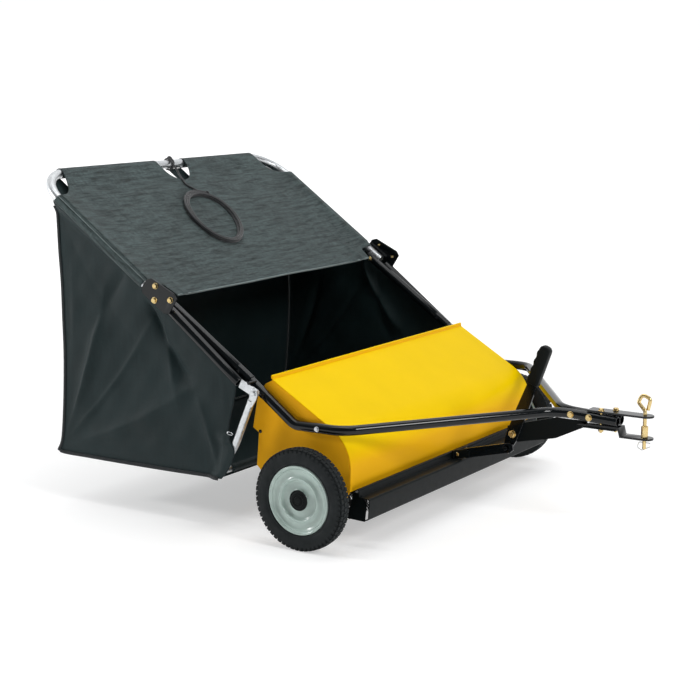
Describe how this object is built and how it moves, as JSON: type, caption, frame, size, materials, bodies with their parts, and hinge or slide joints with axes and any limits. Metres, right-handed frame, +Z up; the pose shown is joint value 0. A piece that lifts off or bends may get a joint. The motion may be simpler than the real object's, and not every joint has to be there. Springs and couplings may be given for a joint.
{
  "type": "lawn sweeper",
  "caption": "Towed lawn sweeper with yellow housing, wheel-driven rotary brush, tipping fabric hopper on a tube frame, height lever and pin hitch.",
  "frame": {"origin": "middle of the object's footprint box at ground level", "axes": "+X forward, the towing direction; +Y to the left wheel; +Z up"},
  "size_m": [1.557, 1.156, 0.888],
  "materials": {
    "yellow_paint": "gloss",
    "black_paint": "gloss",
    "zinc_plate": "satin",
    "yellow_zinc": "satin",
    "tyre_rubber": "matte",
    "rim_plastic": "satin",
    "black_plastic": "matte",
    "bristles": "matte",
    "bag_fabric": "matte",
    "rope_cord": "matte"
  },
  "bodies": {
    "housing": {"cover": "yellow_paint", "side_plate_right": "yellow_paint", "side_plate_left": "yellow_paint", "apron": "black_paint", "apron_bracket": "zinc_plate", "axle_right": "zinc_plate", "axle_left": "zinc_plate", "brush_bearing_right": "black_plastic", "brush_bearing_left": "black_plastic", "dust_cover_right": "black_paint", "dust_cover_left": "black_paint"},
    "wheel_right": {"tyre_right": "tyre_rubber", "rim_right": "rim_plastic", "hub_cap_right": "black_plastic"},
    "wheel_left": {"tyre_left": "tyre_rubber", "rim_left": "rim_plastic", "hub_cap_left": "black_plastic"},
    "brush": {"brush_shaft": "zinc_plate", "brush_section_1": "bristles", "brush_section_2": "bristles", "brush_section_3": "bristles", "pinion_right": "zinc_plate", "pinion_left": "zinc_plate"},
    "drawbar": {"drawbar_tube_right": "black_paint", "drawbar_tube_left": "black_paint", "hopper_arm_right": "black_paint", "hopper_arm_left": "black_paint", "side_bolt_right": "yellow_zinc", "side_bolt_left": "yellow_zinc", "hitch_strap_upper": "black_paint", "hitch_strap_lower": "black_paint", "hitch_bolt_1": "yellow_zinc", "hitch_bolt_2": "yellow_zinc", "strap_bolt_1": "yellow_zinc", "strap_bolt_2": "yellow_zinc", "strut": "black_paint", "lever_bolt": "yellow_zinc"},
    "pin": {"hitch_pin": "yellow_zinc"},
    "clip": {"hair_clip": "zinc_plate"},
    "spacer": {"hitch_spacer": "yellow_zinc"},
    "lever": {"lever_bar": "black_paint", "lever_grip": "black_plastic"},
    "link": {"height_link": "black_paint"},
    "hopper": {"hopper_upper_frame": "zinc_plate", "pivot_plate_right": "black_paint", "pivot_plate_left": "black_paint", "lower_side_tube_right": "black_paint", "lower_side_tube_left": "black_paint", "hook_fitting_right": "zinc_plate", "hook_fitting_left": "zinc_plate", "hopper_lower_frame": "zinc_plate", "pivot_bolt_right": "yellow_zinc", "pivot_bolt_left": "yellow_zinc", "hook_bolt_right": "yellow_zinc", "hook_bolt_left": "yellow_zinc", "bag": "bag_fabric", "bag_bottom_rod": "zinc_plate", "rope": "rope_cord", "rope_coil": "rope_cord"}
  },
  "joints": [
    {"name": "brush_spin", "type": "hinge", "parent": "housing", "child": "brush", "pos_m": [0.05787, 0, 0.13482], "axis": [0, 1, 0], "continuous": true},
    {"name": "wheel_right_spin", "type": "hinge", "parent": "housing", "child": "wheel_right", "pos_m": [0.10725, -0.558, 0.127], "axis": [0, 1, 0], "continuous": true},
    {"name": "wheel_left_spin", "type": "hinge", "parent": "housing", "child": "wheel_left", "pos_m": [0.10725, 0.558, 0.127], "axis": [0, 1, 0], "continuous": true},
    {"name": "height", "type": "hinge", "parent": "housing", "child": "drawbar", "pos_m": [0.11925, 0, 0.292], "axis": [0, 1, 0], "range_deg": [0, 4]},
    {"name": "lever_swing", "type": "hinge", "parent": "drawbar", "child": "lever", "pos_m": [0.38825, 0, 0.214], "axis": [0, 1, 0], "range_deg": [-17.6, 0]},
    {"name": "link_swing", "type": "hinge", "parent": "housing", "child": "link", "pos_m": [0.25925, 0, 0.147], "axis": [0, 1, 0], "range_deg": [0, 10.8]},
    {"name": "hopper_dump", "type": "hinge", "parent": "drawbar", "child": "hopper", "pos_m": [-0.35175, 0, 0.573], "axis": [0, 1, 0], "range_deg": [0, 90]},
    {"name": "pin_turn", "type": "hinge", "parent": "drawbar", "child": "pin", "pos_m": [0.75225, 0, 0.28], "axis": [0, 0, 1], "continuous": true},
    {"name": "clip_pull", "type": "slide", "parent": "pin", "child": "clip", "axis": [-1, 0, 0], "range_m": [0, 0.04]},
    {"name": "spacer_slide", "type": "slide", "parent": "drawbar", "child": "spacer", "axis": [0, 0, 1], "range_m": [0, 0.022]}
  ],
  "couplings": [
    {"joint": "wheel_right_spin", "follows": "brush_spin", "ratio": 0.2},
    {"joint": "wheel_left_spin", "follows": "brush_spin", "ratio": 0.2},
    {"joint": "lever_swing", "follows": "height", "ratio": -4.4},
    {"joint": "link_swing", "follows": "height", "ratio": 2.7}
  ]
}
